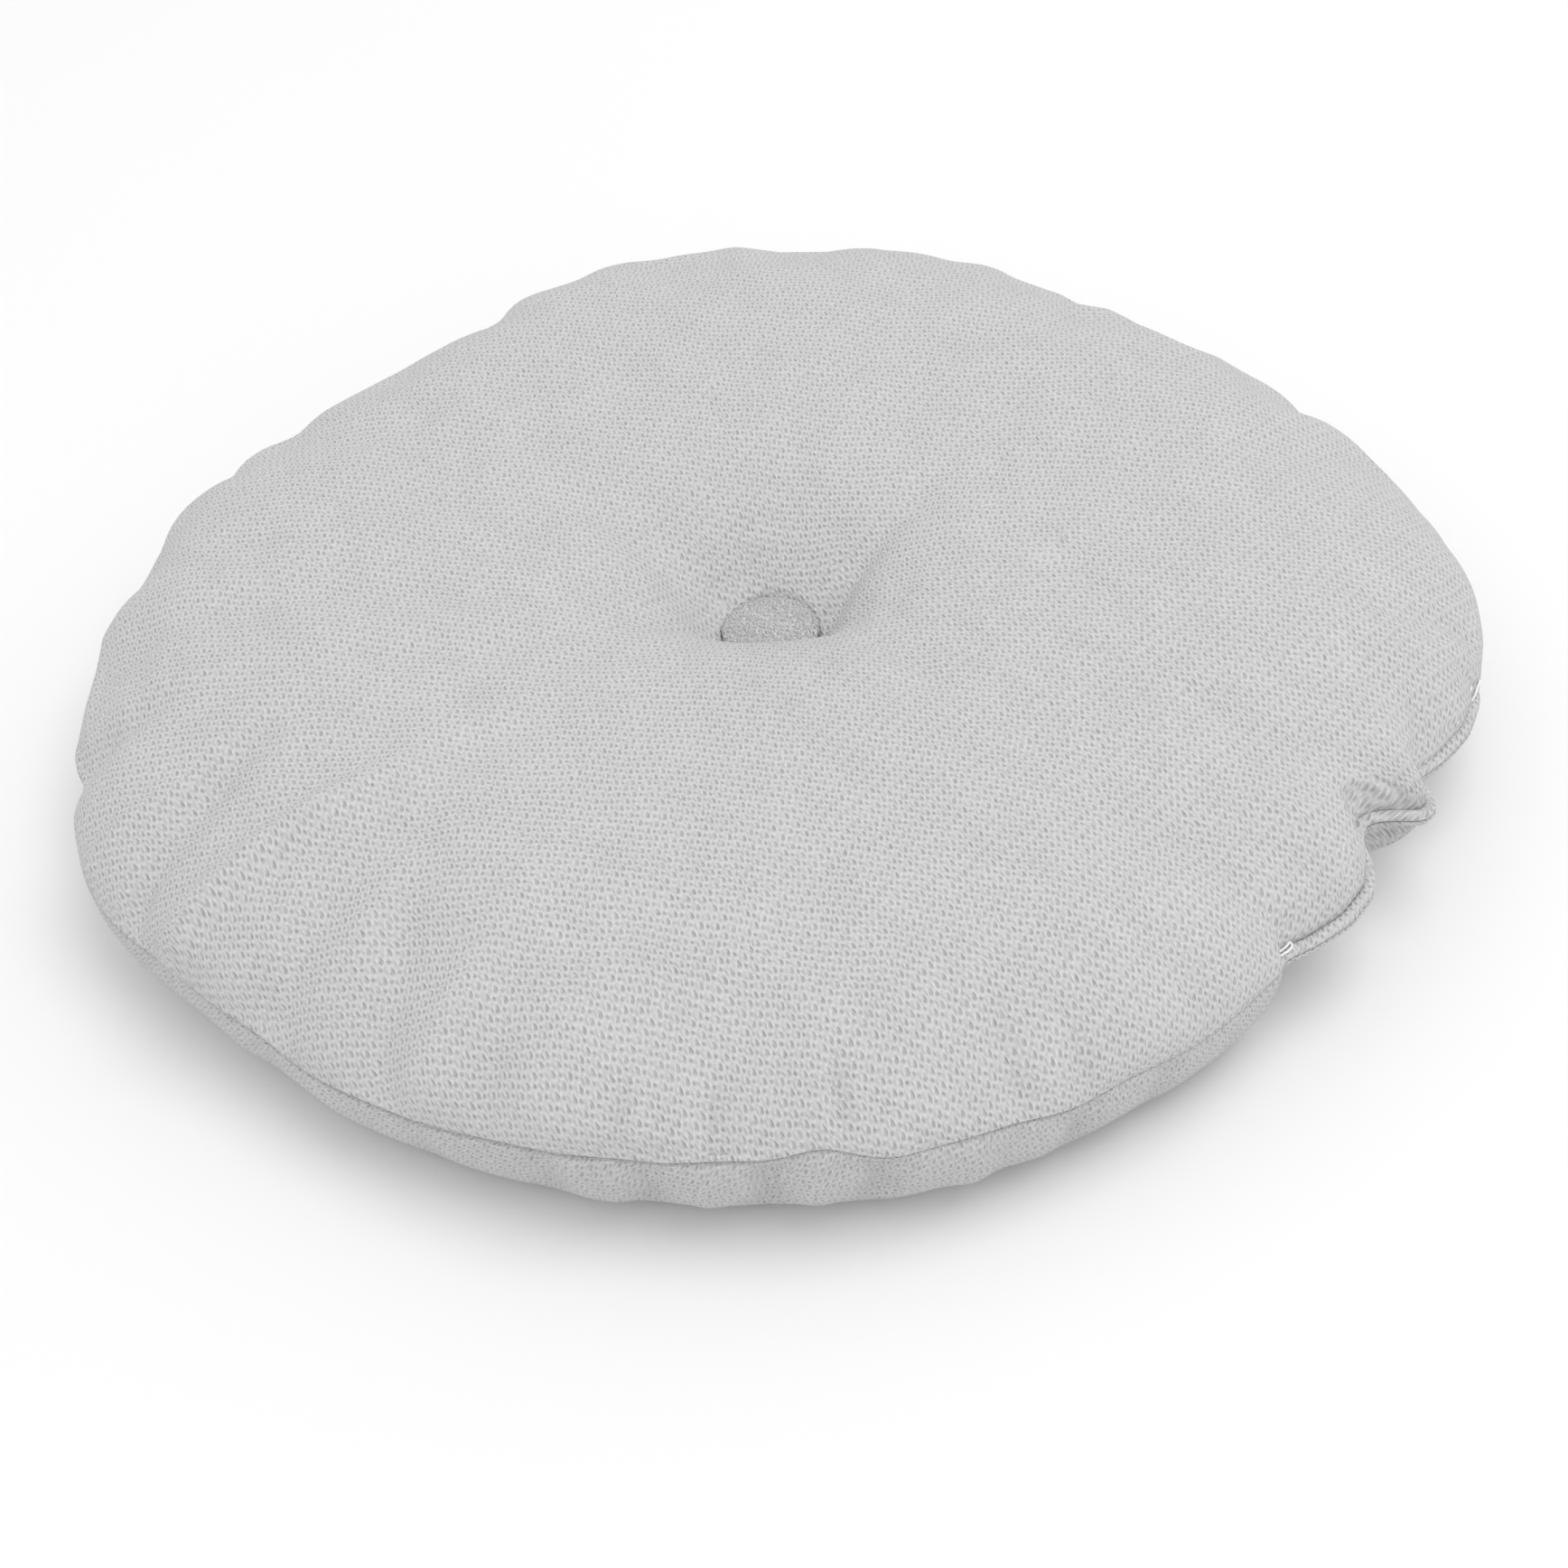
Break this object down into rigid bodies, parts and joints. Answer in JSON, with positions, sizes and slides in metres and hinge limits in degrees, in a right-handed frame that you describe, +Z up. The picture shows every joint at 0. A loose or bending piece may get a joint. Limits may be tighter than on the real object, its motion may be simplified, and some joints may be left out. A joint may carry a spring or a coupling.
{
  "type": "round tufted seat cushion",
  "caption": "Round padded seat cushion with a sewn rim, an edge-stitched closure and a fabric-covered tufting button drawn into each face.",
  "frame": {"origin": "centre of the face that the cushion lies on, under the middle of the tufting button", "axes": "+Z up through both buttons; +X to the right and +Y to the back as seen from the front, with the closure at the front right"},
  "size_m": [0.396, 0.396, 0.062],
  "materials": {
    "cover_fabric": "matte",
    "button_fabric": "matte",
    "fibre_filling": "matte",
    "seam_thread": "matte",
    "tack_thread": "satin",
    "button_metal": "satin",
    "eye_wire": "satin",
    "twine": "matte"
  },
  "bodies": {
    "cushion_base": {"bottom_panel": "cover_fabric", "filling": "fibre_filling", "rim_needle_thread": "seam_thread", "rim_bobbin_thread": "seam_thread", "closure_needle_thread": "seam_thread", "closure_bobbin_thread": "seam_thread", "front_tack_thread": "tack_thread", "rear_tack_thread": "tack_thread", "tufting_twine": "twine"},
    "top_cover": {"top_panel": "cover_fabric"},
    "top_button": {"top_button_cover": "button_fabric", "top_button_shell": "button_metal", "top_button_back": "button_metal", "top_button_eye": "eye_wire"},
    "bottom_button": {"bottom_button_cover": "button_fabric", "bottom_button_shell": "button_metal", "bottom_button_back": "button_metal", "bottom_button_eye": "eye_wire"}
  },
  "joints": [
    {"name": "fill_compression", "type": "slide", "parent": "cushion_base", "child": "top_cover", "axis": [0, 0, 1], "range_m": [-0.02, 0], "stiffness_N_per_m": 2500, "deforming": ["top_panel", "filling"]},
    {"name": "top_button_swivel", "type": "hinge", "parent": "cushion_base", "child": "top_button", "pos_m": [0, 0, 0.035], "axis": [0, 0, 1], "range_deg": [-40, 40], "stiffness_Nm_per_rad": 0.002},
    {"name": "bottom_button_swivel", "type": "hinge", "parent": "cushion_base", "child": "bottom_button", "pos_m": [0, 0, 0.013], "axis": [0, 0, 1], "range_deg": [-40, 40], "stiffness_Nm_per_rad": 0.002}
  ]
}
